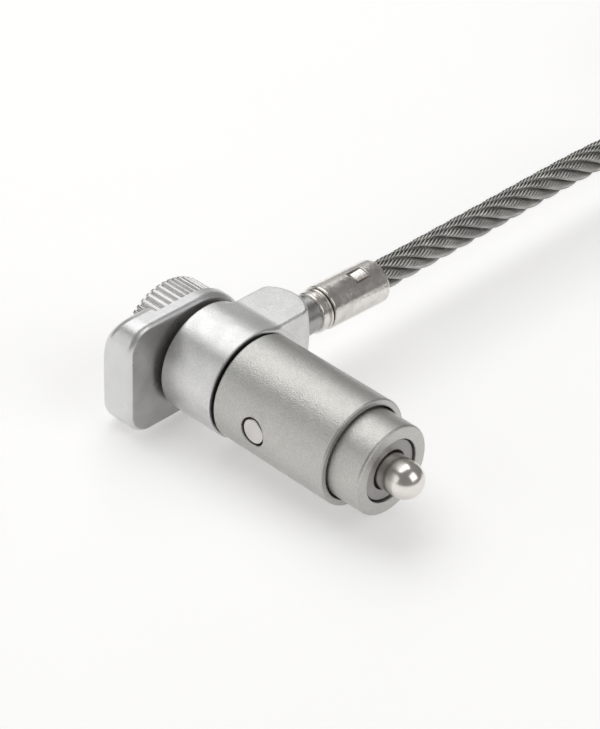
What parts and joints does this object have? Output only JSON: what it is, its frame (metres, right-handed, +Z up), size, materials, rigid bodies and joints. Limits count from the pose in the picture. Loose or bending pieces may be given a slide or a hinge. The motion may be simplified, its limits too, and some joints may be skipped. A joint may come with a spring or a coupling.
{
  "type": "laptop cable lock",
  "caption": "laptop cable lock: satin barrel head with a sprung ball stud and release button, thumb lever with knurled key housing, and a swivelling steel cable ending in an eye",
  "frame": {"origin": "on the surface the lock lies on, under the middle of the lock head and its cable ferrule (the free cable, its coil, tie and eye not counted)", "axes": "+X along the barrel towards the ball stud, +Y the way the cable leaves the collar arm, +Z up"},
  "size_m": [0.0801, 0.221, 0.0326],
  "materials": {
    "satin_silver": "bright satin, lightly blasted",
    "barrel_grey": "warm grey satin, fine blasted grain",
    "polished_nickel": "polished nickel plate with a warm tint",
    "plain_steel": "turned bright steel",
    "spring_steel": "oil-tempered spring wire",
    "dark_oxide": "dark brown-grey oxide",
    "brass": "machined",
    "black_nylon": "moulded",
    "cable_strand": "grey galvanised wire rope, six outer strands",
    "tie_strap": "black woven hook-and-loop"
  },
  "bodies": {
    "cable": {"crimp_ferrule": "polished_nickel", "swivel_stem": "polished_nickel", "stem_washer": "brass", "cable_run": "cable_strand", "cable_coil": "cable_strand", "coil_tie": "tie_strap", "cable_tail": "cable_strand", "eye_ferrule": "polished_nickel", "cable_eye": "cable_strand"},
    "collar": {"collar": "satin_silver", "collar_washer": "black_nylon"},
    "barrel": {"barrel_shell": "barrel_grey", "nose_ring": "barrel_grey", "stud_guide": "dark_oxide", "guide_bush": "brass", "spring_seat": "plain_steel", "collar_clip": "spring_steel", "stud_spring": "spring_steel", "button_spring": "spring_steel"},
    "stud": {"ball_stud": "polished_nickel", "follower_pin": "plain_steel"},
    "button": {"release_button": "polished_nickel", "latch_plate": "plain_steel"},
    "lever": {"thumb_lever": "satin_silver", "knurled_housing": "satin_silver", "housing_dowel_1": "plain_steel", "housing_dowel_2": "plain_steel", "drive_spindle": "plain_steel"},
    "plug": {"lock_plug": "brass", "plug_clip": "spring_steel", "tailpiece": "plain_steel", "wafer_spring_1": "spring_steel", "wafer_spring_2": "spring_steel", "wafer_spring_3": "spring_steel"},
    "wafer_a": {"wafer_1": "brass"},
    "wafer_b": {"wafer_2": "brass"},
    "wafer_c": {"wafer_3": "brass"}
  },
  "joints": [
    {"name": "cable_swivel", "type": "hinge", "parent": "cable", "child": "collar", "pos_m": [-0.01348, -0.00985, 0.01294], "axis": [0, 1, 0], "continuous": true},
    {"name": "barrel_turn", "type": "hinge", "parent": "collar", "child": "barrel", "pos_m": [0.01698, -0.00985, 0.0106], "axis": [1, 0, 0], "continuous": true},
    {"name": "lever_turn", "type": "hinge", "parent": "barrel", "child": "lever", "pos_m": [0.01698, -0.00985, 0.0106], "axis": [-1, 0, 0], "range_deg": [0, 90]},
    {"name": "stud_slide", "type": "slide", "parent": "barrel", "child": "stud", "axis": [-1, 0, 0], "range_m": [0, 0.004], "deforming": ["stud_spring"]},
    {"name": "button_press", "type": "slide", "parent": "barrel", "child": "button", "axis": [0, 1, 0], "range_m": [0, 0.0012], "stiffness_N_per_m": 800, "springref_m": -0.0006, "deforming": ["button_spring"]},
    {"name": "key_turn", "type": "hinge", "parent": "lever", "child": "plug", "pos_m": [0.01698, -0.00985, 0.0106], "axis": [1, 0, 0], "range_deg": [0, 90]},
    {"name": "wafer_1_lift", "type": "slide", "parent": "plug", "child": "wafer_a", "axis": [0, 0, 1], "range_m": [0, 0.0005], "stiffness_N_per_m": 60, "springref_m": -0.0005},
    {"name": "wafer_2_lift", "type": "slide", "parent": "plug", "child": "wafer_b", "axis": [0, 0, 1], "range_m": [0, 0.0005], "stiffness_N_per_m": 60, "springref_m": -0.0005},
    {"name": "wafer_3_lift", "type": "slide", "parent": "plug", "child": "wafer_c", "axis": [0, 0, 1], "range_m": [0, 0.0005], "stiffness_N_per_m": 60, "springref_m": -0.0005}
  ],
  "couplings": [
    {"joint": "lever_turn", "follows": "stud_slide", "rad_per_m": 392.69}
  ]
}
